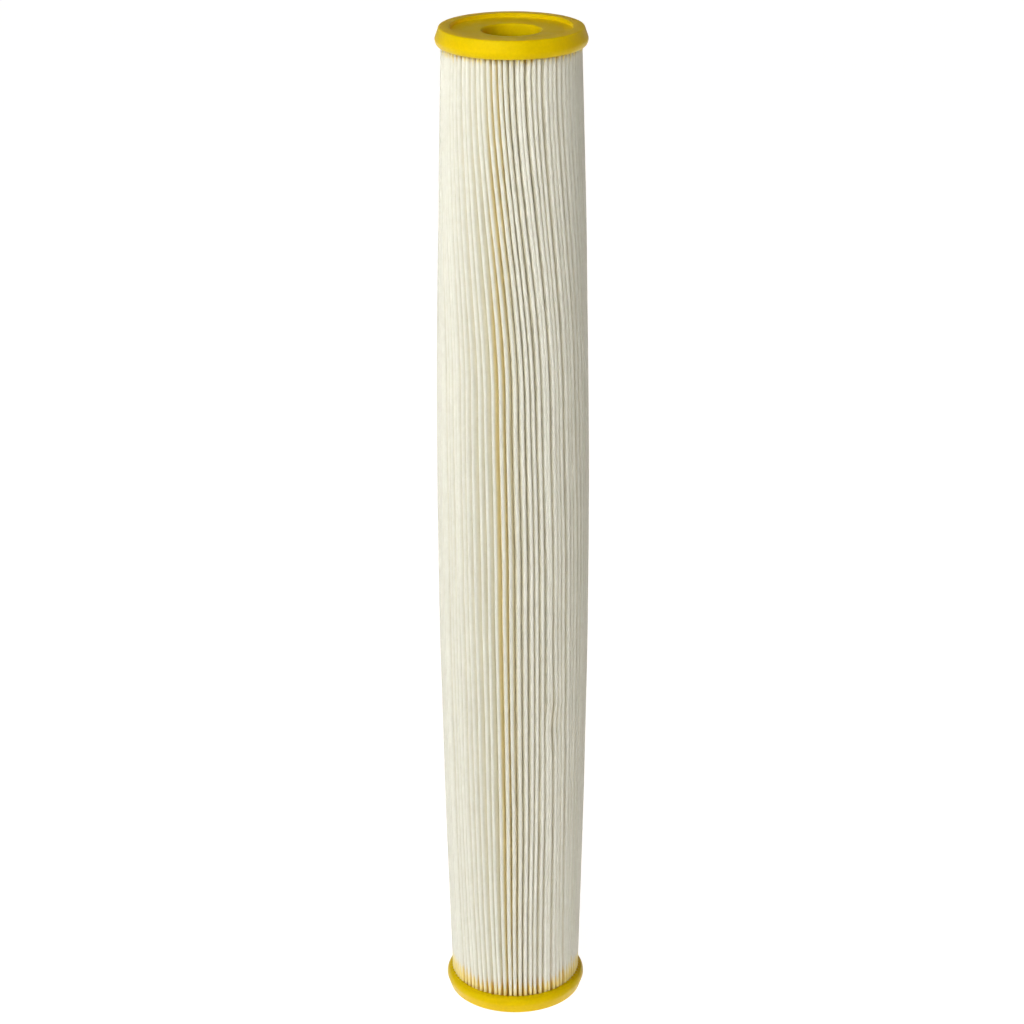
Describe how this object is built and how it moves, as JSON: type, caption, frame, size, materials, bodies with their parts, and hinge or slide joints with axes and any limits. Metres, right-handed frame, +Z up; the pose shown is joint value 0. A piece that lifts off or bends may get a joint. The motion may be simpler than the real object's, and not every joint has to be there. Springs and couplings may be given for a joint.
{
  "type": "pleated filter cartridge",
  "caption": "Tall round filter cartridge with an off-white pleated polyester sheet, yellow cast end caps and an open bore through a lattice core.",
  "frame": {"origin": "on the cartridge's axis, in the plane of the lower sealing rim", "axes": "+Z runs up the cartridge's axis from the lower sealing rim to the upper one; +Y points to the side seam"},
  "size_m": [0.0734, 0.0738, 0.4953],
  "materials": {
    "cap_vinyl": "satin cast vinyl",
    "filter_fabric": "matt spun-bonded polyester",
    "seam_adhesive": "matt hot-melt adhesive",
    "core_plastic": "natural moulded polypropylene"
  },
  "bodies": {
    "root": {"bottom_end_cap": "cap_vinyl", "top_end_cap": "cap_vinyl", "pleated_sheet": "filter_fabric", "side_seam": "seam_adhesive", "core_section_1": "core_plastic", "core_section_2": "core_plastic", "core_section_3": "core_plastic", "core_section_4": "core_plastic"}
  },
  "joints": []
}
